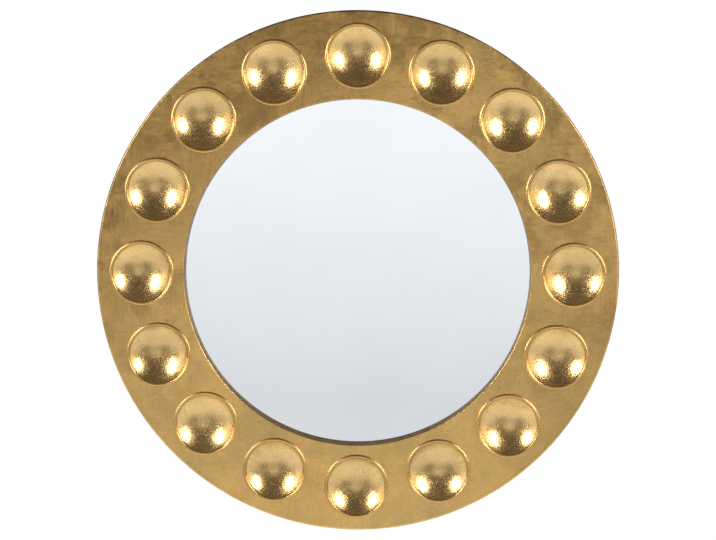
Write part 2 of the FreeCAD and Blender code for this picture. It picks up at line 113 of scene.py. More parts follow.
# Panels of the studio, seen in reflections alone: two opposite corners in metres and a brightness.
STUDIO_PANELS = (
    ("room_front", (-6, -8, 0.36), (6, -8, 3), 0.15),
    ("room_ceiling", (-6, -8, 3), (6, 6, 3), 0.10),
    ("room_back", (6, 6, 0.2), (-6, 6, 3), 0.13),
    ("flag_left", (-6, -8, -0.5), (-1.5, -8, 0.36), 0.15),
    ("flag_right", (1.2, -8, -0.2), (6, -8, 0.36), 0.22),
    ("far_left", (-6, -3.6, -1.4), (-6, -8, 3), 0.15),
    ("wall_left", (-6, -1.0, -1.4), (-6, -3.6, 2.9), 0.90),
    ("near_left", (-6, 6, -1.4), (-6, -1.0, 3), 0.13),
    ("far_right", (6, -8, -1.4), (6, -3.6, 3), 0.20),
    ("wall_right", (6, -3.6, -1.4), (6, -0.6, 2.9), 0.85),
    ("near_right", (6, -0.6, -1.4), (6, 6, 3), 0.25),
)
PANEL_TINT = (1.0, 0.90, 0.78)

# What reflections see of the floor: the steepness of the look down, from 0, level, to 1, and a
# brightness. Near the mirror lies its paper, then the darker floor of the room, then far haze.
FLOOR_STOPS = (
    (0.0, 1.0), (0.044, 0.955), (0.105, 0.87), (0.20, 0.75), (0.33, 0.74),
    (0.55, 0.92), (0.86, 0.98), (0.96, 0.86), (1.0, 0.70),
)
FLOOR_TINT = (0.985, 0.99, 1.0)
FLOOR_RADIUS = 400.0


class RingSizes(bpy.types.PropertyGroup):
    """Sizes of the gilded ring."""

    outer_round: FloatProperty(
        name="Outer round", description="Radius of the outer front edge",
        default=0.003, min=0.0005, max=0.01, subtype="DISTANCE", unit="LENGTH",
    )
    inner_round: FloatProperty(
        name="Inner round", description="Radius of the opening's front edge",
        default=0.0015, min=0.0003, max=0.008, subtype="DISTANCE", unit="LENGTH",
    )
    rebate_room: FloatProperty(
        name="Rebate room", description="Room round the glass behind the ring",
        default=0.001, min=0.0, max=0.005, subtype="DISTANCE", unit="LENGTH",
    )
    steps: IntProperty(
        name="Steps", description="Facets round the ring", default=512, min=64, max=1024,
    )


class DishSizes(bpy.types.PropertyGroup):
    """Sizes of a hollow dish."""

    bead_width: FloatProperty(
        name="Bead width", description="Width of the rounded bead round the hollow",
        default=0.0055, min=0.001, max=0.01, subtype="DISTANCE", unit="LENGTH",
    )
    sheet: FloatProperty(
        name="Sheet", description="Metal that the dish is spun from",
        default=0.0012, min=0.0004, max=0.003, subtype="DISTANCE", unit="LENGTH",
    )
    bore_room: FloatProperty(
        name="Bore room", description="Room round the dish in its bore",
        default=0.0005, min=0.0, max=0.002, subtype="DISTANCE", unit="LENGTH",
    )
    steps: IntProperty(
        name="Steps", description="Facets round a dish", default=128, min=32, max=256,
    )


class Gilding(bpy.types.PropertyGroup):
    """Colours of the gold leaf."""

    ring_leaf: FloatVectorProperty(
        name="Ring leaf", description="Clean gold leaf of the ring", subtype="COLOR",
        default=(0.96, 0.61, 0.22), min=0.0, max=1.0,
    )
    dish_leaf: FloatVectorProperty(
        name="Dish leaf", description="Clean gold leaf of the dishes", subtype="COLOR",
        default=(0.96, 0.64, 0.245), min=0.0, max=1.0,
    )
    olive: FloatVectorProperty(
        name="Olive", description="Greenish patches of the leaf", subtype="COLOR",
        default=(0.76, 0.52, 0.19), min=0.0, max=1.0,
    )
    russet: FloatVectorProperty(
        name="Russet", description="Patches where the red ground shows through", subtype="COLOR",
        default=(0.80, 0.42, 0.15), min=0.0, max=1.0,
    )
    # Umber also paints shade: on the ring's upper left and upper edge, and in the depth of the
    # dishes.
    umber: FloatVectorProperty(
        name="Umber", description="Pits, cracks and browner parts of the leaf", subtype="COLOR",
        default=(0.20, 0.11, 0.04), min=0.0, max=1.0,
    )


class Fittings(bpy.types.PropertyGroup):
    """Colours of the glass, the back and the fittings."""

    silvering: FloatVectorProperty(
        name="Silvering", description="What the glass gives back", subtype="COLOR",
        default=(0.93, 0.95, 0.975), min=0.0, max=1.0,
    )
    stain: FloatVectorProperty(
        name="Stain", description="Dark stain on the back of the ring", subtype="COLOR",
        default=(0.035, 0.022, 0.014), min=0.0, max=1.0,
    )
    board: FloatVectorProperty(
        name="Board", description="Fibres of the backing board", subtype="COLOR",
        default=(0.30, 0.18, 0.095), min=0.0, max=1.0,
    )
    zinc: FloatVectorProperty(
        name="Zinc", description="Plating of the screws", subtype="COLOR",
        default=(0.62, 0.60, 0.54), min=0.0, max=1.0,
    )
    nickel: FloatVectorProperty(
        name="Nickel", description="Plating of the straps and D-rings", subtype="COLOR",
        default=(0.68, 0.66, 0.62), min=0.0, max=1.0,
    )
    rubber: FloatVectorProperty(
        name="Rubber", description="Rubber of the wall bumpers", subtype="COLOR",
        default=(0.018, 0.018, 0.018), min=0.0, max=1.0,
    )
    foam: FloatVectorProperty(
        name="Foam", description="Foam behind the glass", subtype="COLOR",
        default=(0.030, 0.030, 0.034), min=0.0, max=1.0,
    )


class StageSettings(bpy.types.PropertyGroup):
    """Lights and floor."""

    box_power: FloatProperty(
        name="Soft box power", description="Power of each of the two soft boxes",
        default=46.0, min=0.0, max=500.0, unit="POWER",
    )
    box_azimuth: FloatProperty(
        name="Soft box direction", description="How far to the side the soft boxes stand",
        default=math.radians(48.5), min=0.0, max=math.radians(90), subtype="ANGLE", unit="ROTATION",
    )
    box_elevation: FloatProperty(
        name="Soft box height", description="How far above level the soft boxes stand",
        default=math.radians(17.0), min=0.0, max=math.radians(80), subtype="ANGLE", unit="ROTATION",
    )
    box_distance: FloatProperty(
        name="Soft box distance", description="From the mirror to the soft boxes",
        default=3.1, min=1.0, max=10.0, subtype="DISTANCE", unit="LENGTH",
    )
    box_width: FloatProperty(
        name="Soft box width", description="Width of a soft box",
        default=1.0, min=0.1, max=3.0, subtype="DISTANCE", unit="LENGTH",
    )
    box_height: FloatProperty(
        name="Soft box length", description="Height of a soft box",
        default=1.75, min=0.1, max=3.0, subtype="DISTANCE", unit="LENGTH",
    )
    floor_height: FloatProperty(
        name="Floor", description="Height of the floor below the mirror's middle",
        default=-1.5, min=-3.0, max=-0.41, subtype="DISTANCE", unit="LENGTH",
    )


# ---------------------------------------------------------------- node helpers


def add_node(tree, kind, sockets=None, **settings):
    """Adds one node, with its settings, and gives each named socket a value or a link."""
    node = tree.nodes.new(kind)
    for name, setting in settings.items():
        setattr(node, name, setting)
    for name, given in (sockets or {}).items():
        if isinstance(given, bpy.types.NodeSocket):
            tree.links.new(given, node.inputs[name])
        else:
            node.inputs[name].default_value = given
    return node


def opaque(colour):
    """A colour with its alpha."""
    return (*colour[:3], 1.0)


def noise(tree, place, scale, detail=4.0, roughness=0.55, distortion=0.0):
    """Soft noise of so many waves per metre."""
    node = add_node(
        tree, "ShaderNodeTexNoise",
        {"Vector": place, "Scale": scale, "Detail": detail, "Roughness": roughness,
         "Distortion": distortion},
    )
    return node.outputs["Fac"]


def cells(tree, place, scale, feature="F1"):
    """Distance in a pattern of cells, so many per metre."""
    node = add_node(
        tree, "ShaderNodeTexVoronoi", {"Vector": place, "Scale": scale}, feature=feature
    )
    return node.outputs["Distance"]


def spread(tree, factor, low, high, to_low=0.0, to_high=1.0):
    """Takes the range low to high of a factor to another range, smoothly."""
    node = add_node(
        tree, "ShaderNodeMapRange",
        {"Value": factor, "From Min": low, "From Max": high, "To Min": to_low, "To Max": to_high},
        interpolation_type="SMOOTHSTEP",
    )
    return node.outputs["Result"]


def reckon(tree, kind, first, second):
    """One step of arithmetic on two factors."""
    return add_node(tree, "ShaderNodeMath", {0: first, 1: second}, operation=kind).outputs[0]


def plus(tree, first, second):
    """Two factors added."""
    return reckon(tree, "ADD", first, second)


def times(tree, first, second):
    """Two factors multiplied."""
    return reckon(tree, "MULTIPLY", first, second)


def reckon_places(tree, kind, first, second):
    """One step of arithmetic on two places."""
    node = add_node(tree, "ShaderNodeVectorMath", {0: first, 1: second}, operation=kind)
    return node.outputs[0]


def parts_of(tree, place):
    """The X, Y and Z of a place."""
    return add_node(tree, "ShaderNodeSeparateXYZ", {"Vector": place}).outputs


def reach_of(tree, place):
    """How far a place is from the middle."""
    return add_node(tree, "ShaderNodeVectorMath", {0: place}, operation="LENGTH").outputs["Value"]


def stretch(tree, place, scale):
    """A place scaled by each axis, so that a pattern runs along the axis scaled least."""
    return add_node(tree, "ShaderNodeMapping", {"Vector": place, "Scale": scale}).outputs[0]


def blend_colours(tree, factor, first, second, kind="MIX"):
    """The second colour over the first, as far as the factor says."""
    node = add_node(
        tree, "ShaderNodeMix", {0: factor, 6: first, 7: second},
        data_type="RGBA", blend_type=kind,
    )
    return node.outputs[2]


def stain(tree, mask, tone, colour):
    """A colour laid over a tone, as far as the mask says."""
    return blend_colours(tree, mask, tone, opaque(colour))


def dim(tree, tone, factor):
    """A tone multiplied by one factor."""
    grey = add_node(tree, "ShaderNodeCombineColor", {0: factor, 1: factor, 2: factor})
    return blend_colours(tree, 1.0, tone, grey.outputs[0], "MULTIPLY")


def raise_surface(tree, height, distance, under=None):
    """A bump whose full height is distance, on top of the one under it."""
    sockets = {"Height": height, "Distance": distance, "Strength": 1.0}
    if under is not None:
        sockets["Normal"] = under
    return add_node(tree, "ShaderNodeBump", sockets).outputs["Normal"]


def new_finish(name):
    """An empty material, its tree and its place in the object's own coordinates."""
    material = bpy.data.materials.new(name)
    material.use_nodes = True
    tree = material.node_tree
    tree.nodes.clear()
    place = add_node(tree, "ShaderNodeTexCoord").outputs["Object"]
    return material, tree, place


def close_finish(tree, sockets):
    """Ends a material in one shader."""
    shader = add_node(tree, "ShaderNodeBsdfPrincipled", sockets)
    add_node(tree, "ShaderNodeOutputMaterial", {"Surface": shader.outputs["BSDF"]})


# ------------------------------------------------------------------- finishes


def ring_polar_place(tree, place):
    """Place along the ring and across it, in metres, for patterns that follow the ring."""
    at = parts_of(tree, place)
    along = times(tree, reckon(tree, "ARCTAN2", at["Z"], at["X"]), PATTERN_RADIUS)
    flat = add_node(tree, "ShaderNodeCombineXYZ", {"X": at["X"], "Z": at["Z"]}).outputs[0]
    across = reach_of(tree, flat)
    polar = add_node(tree, "ShaderNodeCombineXYZ", {"X": along, "Y": across, "Z": at["Y"]})
    return polar.outputs[0]


def leaf_colour(tree, place, gilding, clean, patches):
    """Gold leaf with olive and russet patches, so many per metre, and its two patterns."""
    broad = noise(tree, place, patches, 5.0, 0.6, 0.4)
    mottle = noise(tree, place, patches * MOTTLE_TO_PATCHES, 6.0, 0.65, 0.8)
    fine = noise(tree, place, LEAF_GRAIN, 3.0, 0.6)
    tone = stain(tree, spread(tree, broad, 0.30, 0.60), opaque(gilding.olive), clean)
    tone = stain(tree, spread(tree, mottle, 0.55, 0.74, 0.0, 0.3), tone, gilding.russet)
    tone = stain(tree, spread(tree, mottle, 0.28, 0.44, 0.6, 0.0), tone, clean)
    return dim(tree, tone, spread(tree, fine, 0.3, 0.7, 0.90, 1.05)), broad, mottle


def leaf_pits(tree, place, per_metre, low, high, worn):
    """Mask of small pits, where the leaf is worn."""
    return times(tree, spread(tree, cells(tree, place, per_metre), low, high, 1.0, 0.0), worn)


def leaf_squares(tree, place, polar):
    """Tint of the squares that the leaf was laid in, whose seams wander a little."""
    wander = add_node(
        tree, "ShaderNodeTexNoise", {"Vector": place, "Scale": 60.0, "Detail": 3.0}
    ).outputs["Color"]
    wander = reckon_places(tree, "SUBTRACT", wander, (0.5, 0.5, 0.5))
    wander = add_node(
        tree, "ShaderNodeVectorMath", {0: wander, "Scale": SEAM_WANDER}, operation="SCALE"
    ).outputs[0]
    squares = add_node(
        tree, "ShaderNodeTexBrick",
        {"Vector": reckon_places(tree, "ADD", polar, wander),
         "Color1": (1, 1, 1, 1), "Color2": (0.80, 0.80, 0.76, 1), "Mortar": (0.62, 0.58, 0.50, 1),
         "Scale": 1.0, "Mortar Size": LEAF_SEAM, "Mortar Smooth": 0.6, "Bias": 0.1,
         "Brick Width": LEAF_LENGTH, "Row Height": LEAF_WIDTH},
        offset=0.37,
    )
    return squares.outputs["Color"]


def brush_marks(tree, place):
    """Streaks of the brush, level in some places and upright in others."""
    level = noise(tree, stretch(tree, place, (1.0, 1.0, 6.0)), 45.0, 6.0, 0.7)
    upright = noise(tree, stretch(tree, place, (7.0, 1.0, 1.0)), 38.0, 6.0, 0.7)
    turn = spread(tree, noise(tree, place, 14.0, 3.0, 0.6), 0.44, 0.56)
    marks = add_node(tree, "ShaderNodeMix", {0: turn, 2: level, 3: upright}, data_type="FLOAT")
    return marks.outputs[0]


def ring_patina_and_painted_shade(tree, place, polar, tone, gilding):
    """The ring is browner at the upper left, the right, its upper edge and the opening's wall; the
    browner upper left and upper edge are painted shade.
    """
    at = parts_of(tree, place)
    across = parts_of(tree, polar)["Y"]
    # Painted shade: the ring darkens towards its upper left.
    painted_shade_upper_left = reckon(tree, "SUBTRACT", at["Z"], at["X"])
    # Painted shade: the outer edge darkens towards the top.
    edge = spread(tree, across, RING_RADIUS - 0.0032, RING_RADIUS - 0.0012, 0.0, 0.65)
    masks = (
        spread(tree, painted_shade_upper_left, 0.12, 0.52, 0.0, 0.46),
        spread(tree, at["X"], 0.10, 0.36, 0.0, 0.22),
        times(tree, edge, spread(tree, at["Z"], -0.15, 0.12)),
        spread(tree, across, OPENING_RADIUS + 0.0002, OPENING_RADIUS + 0.0008, 0.7, 0.0),
    )
    for mask in masks:
        tone = stain(tree, mask, tone, gilding.umber)
    return tone


def leafed_ring_finish(gilding):
    """Satin gold leaf laid in squares along the ring, brushed and a little worn."""
    material, tree, place = new_finish("leafed_ring")
    tone, broad, mottle = leaf_colour(tree, place, gilding, gilding.ring_leaf, RING_PATCHES)
    polar = ring_polar_place(tree, place)
    tone = blend_colours(tree, 0.4, tone, leaf_squares(tree, place, polar), "MULTIPLY")
    tone = ring_patina_and_painted_shade(tree, place, polar, tone, gilding)

    aloft = spread(tree, parts_of(tree, place)["Z"], -0.28, 0.15, 0.5, 1.8)
    marks = brush_marks(tree, place)
    streaks = times(tree, spread(tree, marks, 0.32, 0.50, 0.20, 0.0), aloft)
    blush = noise(tree, place, 34.0, 4.0, 0.65)
    cloud = noise(tree, place, 21.0, 4.0, 0.6)
    clouded = times(tree, spread(tree, cloud, 0.36, 0.52, 0.20, 0.0), aloft)
    worn = spread(tree, noise(tree, place, 48.0, 5.0, 0.7), 0.50, 0.66)
    pits = leaf_pits(tree, place, 620.0, 0.10, 0.30, worn)
    tone = stain(tree, spread(tree, marks, 0.50, 0.70, 0.0, 0.50), tone, gilding.olive)
    tone = stain(tree, streaks, tone, gilding.umber)
    tone = stain(tree, spread(tree, blush, 0.55, 0.72, 0.0, 0.55), tone, gilding.russet)
    tone = stain(tree, clouded, tone, gilding.umber)
    tone = stain(tree, times(tree, pits, 0.75), tone, gilding.umber)

    strokes = noise(tree, stretch(tree, polar, (1.0, 9.0, 9.0)), 55.0, 5.0, 0.6)
    rough = spread(tree, mottle, 0.30, 0.72, 0.30, 0.46)
    rough = plus(tree, rough, spread(tree, strokes, 0.3, 0.7, -0.04, 0.05))
    rough = plus(tree, rough, times(tree, pits, 0.2))
    relief = raise_surface(tree, broad, RING_SWAY)
    relief = raise_surface(tree, noise(tree, place, 120.0, 4.0, 0.6), RING_DENTS, relief)
    relief = raise_surface(tree, strokes, RING_STROKES, relief)
    relief = raise_surface(tree, noise(tree, place, 900.0, 3.0, 0.6), RING_GRAIN, relief)
    close_finish(tree, {"Base Color": tone, "Metallic": 1.0, "Roughness": rough, "Normal": relief})
    return material


def leafed_dish_finish(gilding):
    """Burnished gold leaf over spun metal, crinkled, flecked and pitted, with painted shade that
    browns the depth of the hollow.
    """
    material, tree, place = new_finish("leafed_dish")
    tone, _, mottle = leaf_colour(tree, place, gilding, gilding.dish_leaf, DISH_PATCHES)
    at = parts_of(tree, place)
    worn = noise(tree, place, 42.0, 5.0, 0.7)
    pits = leaf_pits(tree, place, 560.0, 0.12, 0.34, spread(tree, worn, 0.46, 0.62))
    crackle = cells(tree, place, 300.0, "DISTANCE_TO_EDGE")
    cracks = times(
        tree, spread(tree, crackle, 0.015, 0.06, 1.0, 0.0), spread(tree, worn, 0.52, 0.68)
    )
    # Painted shade: the leaf browns towards the bottom of the hollow.
    painted_hollow_shade = spread(tree, at["Y"], FRONT_FACE + 0.001, FRONT_FACE + 0.018, 0.0, 0.22)
    for mask in (painted_hollow_shade, times(tree, pits, 0.7), times(tree, cracks, 0.5)):
        tone = stain(tree, mask, tone, gilding.umber)

    flecks = spread(tree, noise(tree, place, 480.0, 2.0, 0.6), 0.50, 0.60)
    rough = spread(tree, mottle, 0.30, 0.72, 0.19, 0.25)
    rough = plus(tree, rough, times(tree, pits, 0.2))
    rough = plus(tree, rough, times(tree, flecks, 0.12))
    lower_right = reckon(tree, "SUBTRACT", at["X"], at["Z"])
    strength = times(
        tree, spread(tree, worn, 0.35, 0.65, 0.4, 1.0),
        spread(tree, lower_right, -0.35, 0.45, 0.8, 1.4),
    )
    crinkles = reckon(tree, "SUBTRACT", noise(tree, place, 380.0, 1.5, 0.6), 0.5)
    relief = raise_surface(tree, noise(tree, place, 45.0, 3.0, 0.5), DISH_SWAY)
    relief = raise_surface(tree, times(tree, crinkles, strength), DISH_CRINKLES, relief)
    relief = raise_surface(tree, pits, DISH_PITS, relief)
    relief = raise_surface(tree, cracks, DISH_CRACKS, relief)
    close_finish(
        tree, {"Base Color": tone, "Metallic": 1.0, "Roughness": rough, "Normal": relief,
               "Coat Weight": 0.8, "Coat Roughness": 0.20, "Coat IOR": 1.6, "Coat Normal": relief},
    )
    return material


def leafed_bead_finish(gilding):
    """Browner leaf on the dishes' rounded beads, with the red ground rubbed through in spots."""
    material, tree, place = new_finish("leafed_bead")
    tone, _, mottle = leaf_colour(tree, place, gilding, gilding.dish_leaf, DISH_PATCHES)
    rubbed = spread(tree, noise(tree, place, 140.0, 4.0, 0.7), 0.52, 0.70, 0.0, 0.5)
    tone = stain(tree, rubbed, tone, gilding.russet)
    tone = stain(tree, 0.26, tone, gilding.umber)
    rough = spread(tree, mottle, 0.30, 0.72, 0.26, 0.34)
    relief = raise_surface(tree, noise(tree, place, 400.0, 2.0, 0.65), BEAD_GRAIN)
    close_finish(tree, {"Base Color": tone, "Metallic": 1.0, "Roughness": rough, "Normal": relief})
    return material


def silvered_glass_finish(fittings):
    """Mirror glass: a cool silvering with the faintest haze, waviness and dust."""
    material, tree, place = new_finish("silvered_glass")
    haze = noise(tree, place, 6.0, 3.0, 0.5)
    dust = noise(tree, place, 700.0, 2.0, 0.5)
    tone = stain(tree, spread(tree, haze, 0.3, 0.7), (0.90, 0.93, 0.965, 1), fittings.silvering)
    rough = spread(tree, dust, 0.55, 0.85, 0.015, 0.06)
    relief = raise_surface(tree, noise(tree, place, 3.0, 1.0, 0.4), 0.00002)
    close_finish(tree, {"Base Color": tone, "Metallic": 1.0, "Roughness": rough, "Normal": relief})
    return material


def stained_back_finish(gilding, fittings):
    """The ring's back: dark stain over fibreboard, with gold that ran over the outer edge."""
    material, tree, place = new_finish("stained_back")
    fibre = noise(tree, place, 260.0, 6.0, 0.7)
    cloud = noise(tree, place, 12.0, 4.0, 0.6)
    tone = stain(
        tree, spread(tree, fibre, 0.3, 0.7), opaque(fittings.stain), (0.075, 0.048, 0.030)
    )
    tone = stain(tree, spread(tree, cloud, 0.4, 0.75, 0.0, 0.35), tone, (0.12, 0.08, 0.05))
    ragged = times(tree, noise(tree, place, 45.0, 5.0, 0.7), 0.016)
    reach = plus(tree, parts_of(tree, ring_polar_place(tree, place))["Y"], ragged)
    overrun = spread(tree, reach, RING_RADIUS - 0.0005, RING_RADIUS + 0.004)
    tone = stain(tree, overrun, tone, gilding.olive)
    rough = spread(tree, fibre, 0.3, 0.7, 0.62, 0.80)
    relief = raise_surface(tree, fibre, 0.00008)
    close_finish(
        tree, {"Base Color": tone, "Metallic": overrun, "Roughness": rough, "Normal": relief}
    )
    return material


def hardboard_finish(fittings):
    """Bare hardboard: a smooth brown face with darker fibres and faint scuffs."""
    material, tree, place = new_finish("hardboard")
    fibre = noise(tree, place, 190.0, 8.0, 0.75, 1.2)
    cloud = noise(tree, place, 7.0, 4.0, 0.6)
    scuff = noise(tree, stretch(tree, place, (1.0, 1.0, 12.0)), 20.0, 5.0, 0.7)
    tone = stain(
        tree, spread(tree, fibre, 0.3, 0.72), (0.13, 0.070, 0.035, 1), fittings.board
    )
    tone = stain(tree, spread(tree, cloud, 0.42, 0.70, 0.0, 0.45), tone, (0.20, 0.115, 0.06))
    tone = stain(tree, spread(tree, scuff, 0.66, 0.80, 0.0, 0.4), tone, (0.42, 0.30, 0.19))
    rough = spread(tree, fibre, 0.3, 0.7, 0.48, 0.68)
    relief = raise_surface(tree, fibre, 0.00005)
    close_finish(tree, {"Base Color": tone, "Roughness": rough, "Normal": relief})
    return material


def plated_finish(name, light, dark, grain_scale, low_rough, high_rough):
    """Plated steel: fine drawn grain, faint clouds and a few dull spots."""
    material, tree, place = new_finish(name)
    drawn = noise(tree, stretch(tree, place, (9.0, 1.0, 1.0)), grain_scale, 4.0, 0.6)
    cloud = noise(tree, place, 160.0, 5.0, 0.65)
    spots = spread(tree, noise(tree, place, 900.0, 2.0, 0.5), 0.64, 0.74)
    tone = stain(tree, spread(tree, cloud, 0.35, 0.7), opaque(light), dark)
    tone = stain(tree, times(tree, spots, 0.6), tone, (0.25, 0.21, 0.16))
    rough = spread(tree, drawn, 0.25, 0.75, low_rough, high_rough)
    rough = plus(tree, rough, times(tree, spots, 0.25))
    relief = raise_surface(tree, drawn, 0.00001)
    close_finish(tree, {"Base Color": tone, "Metallic": 1.0, "Roughness": rough, "Normal": relief})
    return material


def soft_black_finish(name, low, high, grain_scale, grain_height, low_rough, high_rough):
    """Dark rubber or foam with a fine grain and a dusty bloom."""
    material, tree, place = new_finish(name)
    bloom = noise(tree, place, 150.0, 5.0, 0.65)
    grain = noise(tree, place, grain_scale, 3.0, 0.6)
    tone = stain(tree, spread(tree, bloom, 0.35, 0.72), opaque(low), high)
    rough = spread(tree, grain, 0.3, 0.7, low_rough, high_rough)
    relief = raise_surface(tree, grain, grain_height)
    close_finish(tree, {"Base Color": tone, "Roughness": rough, "Normal": relief})
    return material


# ---------------------------------------------------------------- mesh helpers


def arc_points(centre, radius, first, last, segments):
    """Points on an arc, first and last in degrees, as (out, depth) pairs."""
    points = []
    for step in range(segments + 1):
        angle = math.radians(first + (last - first) * step / segments)
        points.append(
            (centre[0] + radius * math.cos(angle), centre[1] + radius * math.sin(angle))
        )
    return points


def turn_profile(points, steps, closed):
    """Turns a profile of (out, depth) points a full circle round the Y axis."""
    mesh = bmesh.new()
    corners = [mesh.verts.new((out, depth, 0.0)) for out, depth in points]
    edges = [mesh.edges.new(pair) for pair in zip(corners, corners[1:])]
    if closed:
        edges.append(mesh.edges.new((corners[-1], corners[0])))
    bmesh.ops.spin(
        mesh, geom=corners + edges, cent=(0, 0, 0), axis=(0, 1, 0), angle=math.tau,
        steps=steps, use_merge=True, use_duplicate=False,
    )
    bmesh.ops.remove_doubles(mesh, verts=mesh.verts, dist=1e-6)
    bmesh.ops.recalc_face_normals(mesh, faces=mesh.faces)
    return mesh


def object_from(mesh, name):
    """Puts a built mesh on a new object at the origin."""
    data = bpy.data.meshes.new(name)
    mesh.to_mesh(data)
    mesh.free()
    piece = bpy.data.objects.new(name, data)
    bpy.context.scene.collection.objects.link(piece)
    return piece


def shade(piece, sharp_degrees):
    """Smooth faces, with hard edges where they meet at more than so many degrees."""
    piece.data.shade_smooth()
    piece.data.set_sharp_from_angle(angle=math.radians(sharp_degrees))


def finish_piece(piece, slot, node, *materials):
    """Gives a piece its materials and its body, and hides the CAD node that it stands for."""
    for material in materials:
        piece.data.materials.append(material)
    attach(piece, "frame")
    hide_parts(node)


def dress_node(name, material):
    """Gives a CAD node's own faces a better material."""
    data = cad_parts[name].data
    if not data.materials:
        data.materials.append(material)
    for index in range(len(data.materials)):
        data.materials[index] = material


# ------------------------------------------------------------------- pieces


def ring_profile(sizes):
    """Section of the ring, each flat face kept flat by a point close to its rounded edges."""
    rebate = GLASS_RADIUS + sizes.rebate_room
    outer, inner = sizes.outer_round, sizes.inner_round
    front_corner = (RING_RADIUS - outer, FRONT_FACE + outer)
    back_corner = (RING_RADIUS - BACK_ROUND, BACK_FACE - BACK_ROUND)
    opening_corner = (OPENING_RADIUS + inner, FRONT_FACE + inner)
    points = [
        (opening_corner[0] + FLAT_HOLD, FRONT_FACE), (front_corner[0] - FLAT_HOLD, FRONT_FACE),
    ]
    points += arc_points(front_corner, outer, -90, 0, 10)
    points += [
        (RING_RADIUS, front_corner[1] + FLAT_HOLD), (RING_RADIUS, back_corner[1] - FLAT_HOLD),
    ]
    points += arc_points(back_corner, BACK_ROUND, 0, 90, 4)
    points += [(back_corner[0] - FLAT_HOLD, BACK_FACE), (rebate, BACK_FACE), (rebate, GLASS_FACE)]
    points += [(OPENING_RADIUS, GLASS_FACE), (OPENING_RADIUS, opening_corner[1] + FLAT_HOLD)]
    points += arc_points(opening_corner, inner, -180, -90, 6)
    return points


def dish_shape(sizes):
    """Radii and middle of the two balls that a dish's faces lie on."""
    rim = BEAD_RADIUS - sizes.bead_width
    depth = DISH_HIGH.y - FRONT_FACE - sizes.sheet
    ball = (rim * rim + depth * depth) / (2 * depth)
    middle = FRONT_FACE + depth - ball
    shell = math.sqrt((ball + sizes.sheet) ** 2 - (ball - depth) ** 2)
    return rim, depth, ball, middle, shell


def dish_profile(sizes):
    """Section of a dish: hollow, bead and the shell behind."""
    rim, depth, ball, middle, shell = dish_shape(sizes)
    slope = math.degrees(math.asin(rim / ball))
    points = arc_points((0.0, middle), ball, 90, 90 - slope, 32)
    bead_height = FRONT_FACE - DISH_LOW.y
    half = sizes.bead_width / 2
    bead_ball = (half * half + bead_height * bead_height) / (2 * bead_height)
    bead_side = math.degrees(math.asin((bead_ball - bead_height) / bead_ball))
    bead_centre = (rim + half, FRONT_FACE - bead_height + bead_ball)
    points += arc_points(bead_centre, bead_ball, 180 + bead_side, 360 - bead_side, 16)[1:]
    back_slope = math.degrees(math.asin(shell / (ball + sizes.sheet)))
    points += arc_points((0.0, middle), ball + sizes.sheet, 90 - back_slope, 90, 16)
    return points


def middle_of(name):
    """Middle of a CAD node's box."""
    low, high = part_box(name)
    return (low + high) / 2


def move_to(mesh, name):
    """Moves a mesh turned round the Y axis to the place of a CAD node."""
    middle = middle_of(name)
    bmesh.ops.translate(mesh, vec=(middle.x, 0.0, middle.z), verts=mesh.verts)


def cut_dish_bores(piece, sizes):
    """Cuts the sixteen bores that the dishes stand in."""
    radius = dish_shape(sizes)[-1] + sizes.bore_room
    depth = DISH_HIGH.y - FRONT_FACE + sizes.bore_room
    cutter = bmesh.new()
    for name in DISH_NAMES:
        middle = middle_of(name)
        mouth = Matrix.Translation((middle.x, FRONT_FACE, middle.z))
        bmesh.ops.create_cone(
            cutter, cap_ends=True, segments=96, radius1=radius, radius2=radius, depth=2 * depth,
            matrix=mouth @ Matrix.Rotation(math.radians(90), 4, "X"),
        )
    tool = object_from(cutter, "bore_cutter")
    bore = piece.modifiers.new("bores", "BOOLEAN")
    bore.operation = "DIFFERENCE"
    bore.solver = "EXACT"
    bore.object = tool
    settled = piece.evaluated_get(bpy.context.evaluated_depsgraph_get())
    cut = bpy.data.meshes.new_from_object(settled)
    piece.modifiers.clear()
    piece.data = cut
    bpy.data.objects.remove(tool)


class MIRROR_OT_gilded_ring(bpy.types.Operator):
    """Makes the broad gilded ring with its bores"""

    bl_idname = "mirror.gilded_ring"
    bl_label = "Gilded ring"

    def execute(self, context):
        settings = context.scene
        mesh = turn_profile(ring_profile(settings.mirror_ring), settings.mirror_ring.steps, True)
        piece = object_from(mesh, "gilded_ring")
        cut_dish_bores(piece, settings.mirror_dish)
        shade(piece, 30)
        leaf = leafed_ring_finish(settings.mirror_gilding)
        back = stained_back_finish(settings.mirror_gilding, settings.mirror_fittings)
        finish_piece(piece, "gilded_frame", "front_ring", leaf, back)
        for face in piece.data.polygons:
            face.material_index = int(face.normal.y > 0.9)
        return {"FINISHED"}


class MIRROR_OT_dishes(bpy.types.Operator):
    """Makes the sixteen hollow dishes"""

    bl_idname = "mirror.dishes"
    bl_label = "Hollow dishes"

    def execute(self, context):
        sizes = context.scene.mirror_dish
        hollow = leafed_dish_finish(context.scene.mirror_gilding)
        bead = leafed_bead_finish(context.scene.mirror_gilding)
        for name in DISH_NAMES:
            mesh = turn_profile(dish_profile(sizes), sizes.steps, True)
            move_to(mesh, name)
            piece = object_from(mesh, f"gilded_{name}")
            shade(piece, 30)
            finish_piece(piece, "gilded_dish", name, hollow, bead)
            for face in piece.data.polygons:
                face.material_index = int(face.center.y < FRONT_FACE)
        return {"FINISHED"}


class MIRROR_OT_glass(bpy.types.Operator):
    """Silvers the round glass and dresses the foam behind it"""

    bl_idname = "mirror.glass"
    bl_label = "Mirror glass"

    def execute(self, context):
        fittings = context.scene.mirror_fittings
        dress_node("mirror_glass", silvered_glass_finish(fittings))
        foam = soft_black_finish(
            "foam", fittings.foam, (0.055, 0.055, 0.060), 1400.0, 0.0001, 0.85, 0.98
        )
        dress_node("glass_gasket", foam)
        return {"FINISHED"}


